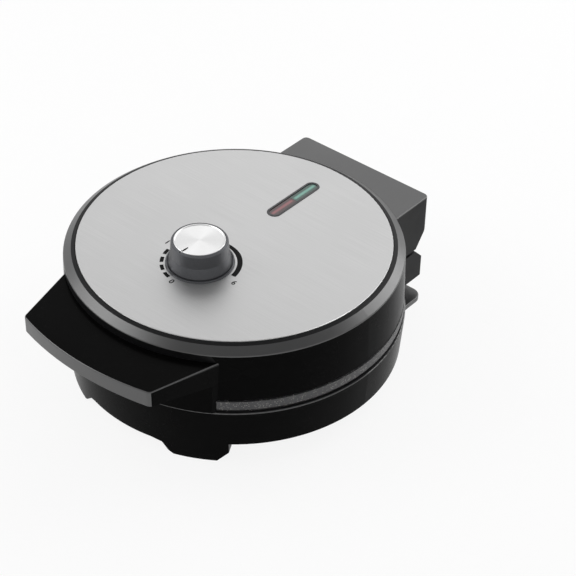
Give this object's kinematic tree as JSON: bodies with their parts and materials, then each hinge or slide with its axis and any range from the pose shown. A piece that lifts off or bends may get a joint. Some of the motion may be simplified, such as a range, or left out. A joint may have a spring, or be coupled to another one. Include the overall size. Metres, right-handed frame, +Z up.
{
  "type": "belgian waffle maker",
  "caption": "Round countertop waffle maker: a hinged lid over two deep-grid cooking plates, with a thermostat knob, an indicator window, a front handle and a rear cord wrap.",
  "frame": {"origin": "on the floor, under the middle of the footprint", "axes": "+Z up, the handle towards -Y, the hinge towards +Y, +X to the right seen from the handle"},
  "size_m": [0.2224, 0.2762, 0.1094],
  "materials": {
    "upper_housing": "satin black heat-resistant plastic",
    "lid_hinge_cover": "satin black heat-resistant plastic",
    "handle_cover": "satin black heat-resistant plastic",
    "lower_housing": "satin black heat-resistant plastic",
    "bottom_cover": "satin black heat-resistant plastic",
    "rear_foot": "satin black heat-resistant plastic",
    "top_disc": "satin stainless steel",
    "window_bezel": "dark grey plastic",
    "lens_red": "tinted clear plastic, red",
    "lens_green": "tinted clear plastic, green",
    "lamp_holder": "natural heat-resistant plastic",
    "indicator_lamps": "small glass lamps",
    "dial_bezel": "dark metallic plastic",
    "upper_cooking_plate": "die-cast, under a dark speckled non-stick coat",
    "lower_cooking_plate": "die-cast, under a dark speckled non-stick coat",
    "upper_element": "tubular heating element",
    "lower_element": "tubular heating element",
    "upper_reflector": "thin bright sheet",
    "lower_reflector": "thin bright sheet",
    "thermostat": "ceramic case",
    "thermostat_bracket": "zinc-plated strap",
    "thermal_fuse": "fuse in a glass-fibre sleeve",
    "fuse_clip": "zinc-plated clip",
    "lid_wires": "glass-fibre sleeved leads",
    "base_wires": "glass-fibre sleeved leads",
    "knob_body": "dark metallic plastic",
    "knob_cap": "spun aluminium",
    "thermostat_spindle": "machined spindle",
    "foot_pads": "soft rubber",
    "hinge_pins": "steel pins",
    "cord_gland": "flexible grommet",
    "cord_clamp": "moulded bar",
    "terminal_block": "natural heat-resistant plastic",
    "lid_hinge_cover_screws": "zinc-plated steel",
    "handle_cover_screws": "zinc-plated steel",
    "upper_plate_screws": "zinc-plated steel",
    "upper_reflector_screws": "zinc-plated steel",
    "thermostat_screws": "zinc-plated steel",
    "lower_plate_screws": "zinc-plated steel",
    "lower_reflector_screws": "zinc-plated steel",
    "bottom_cover_screws": "zinc-plated steel",
    "rear_foot_screws": "zinc-plated steel",
    "cord_clamp_screws": "zinc-plated steel"
  },
  "bodies": {
    "base": {"lower_housing": "lower_housing", "lower_cooking_plate": "lower_cooking_plate", "lower_plate_screws": "lower_plate_screws", "lower_element": "lower_element", "lower_reflector": "lower_reflector", "lower_reflector_screws": "lower_reflector_screws", "bottom_cover": "bottom_cover", "bottom_cover_screws": "bottom_cover_screws", "rear_foot": "rear_foot", "rear_foot_screws": "rear_foot_screws", "foot_pads": "foot_pads", "hinge_pins": "hinge_pins", "cord_gland": "cord_gland", "cord_clamp": "cord_clamp", "cord_clamp_screws": "cord_clamp_screws", "terminal_block": "terminal_block", "base_wires": "base_wires"},
    "lid": {"upper_housing": "upper_housing", "lid_hinge_cover": "lid_hinge_cover", "lid_hinge_cover_screws": "lid_hinge_cover_screws", "handle_cover": "handle_cover", "handle_cover_screws": "handle_cover_screws", "top_disc": "top_disc", "window_bezel": "window_bezel", "lens_red": "lens_red", "lens_green": "lens_green", "lamp_holder": "lamp_holder", "indicator_lamps": "indicator_lamps", "dial_bezel": "dial_bezel", "upper_cooking_plate": "upper_cooking_plate", "upper_plate_screws": "upper_plate_screws", "upper_element": "upper_element", "upper_reflector": "upper_reflector", "upper_reflector_screws": "upper_reflector_screws", "thermostat": "thermostat", "thermostat_bracket": "thermostat_bracket", "thermostat_screws": "thermostat_screws", "thermal_fuse": "thermal_fuse", "fuse_clip": "fuse_clip", "lid_wires": "lid_wires"},
    "knob": {"knob_body": "knob_body", "knob_cap": "knob_cap", "thermostat_spindle": "thermostat_spindle"}
  },
  "joints": [
    {"name": "lid_hinge", "type": "hinge", "parent": "base", "child": "lid", "pos_m": [0, 0.1263, 0.03875], "axis": [-1, 0, 0], "range_deg": [0, 98]},
    {"name": "knob_turn", "type": "hinge", "parent": "lid", "child": "knob", "pos_m": [0, -0.0297, 0.1], "axis": [0, 0, -1], "range_deg": [0, 270]}
  ]
}
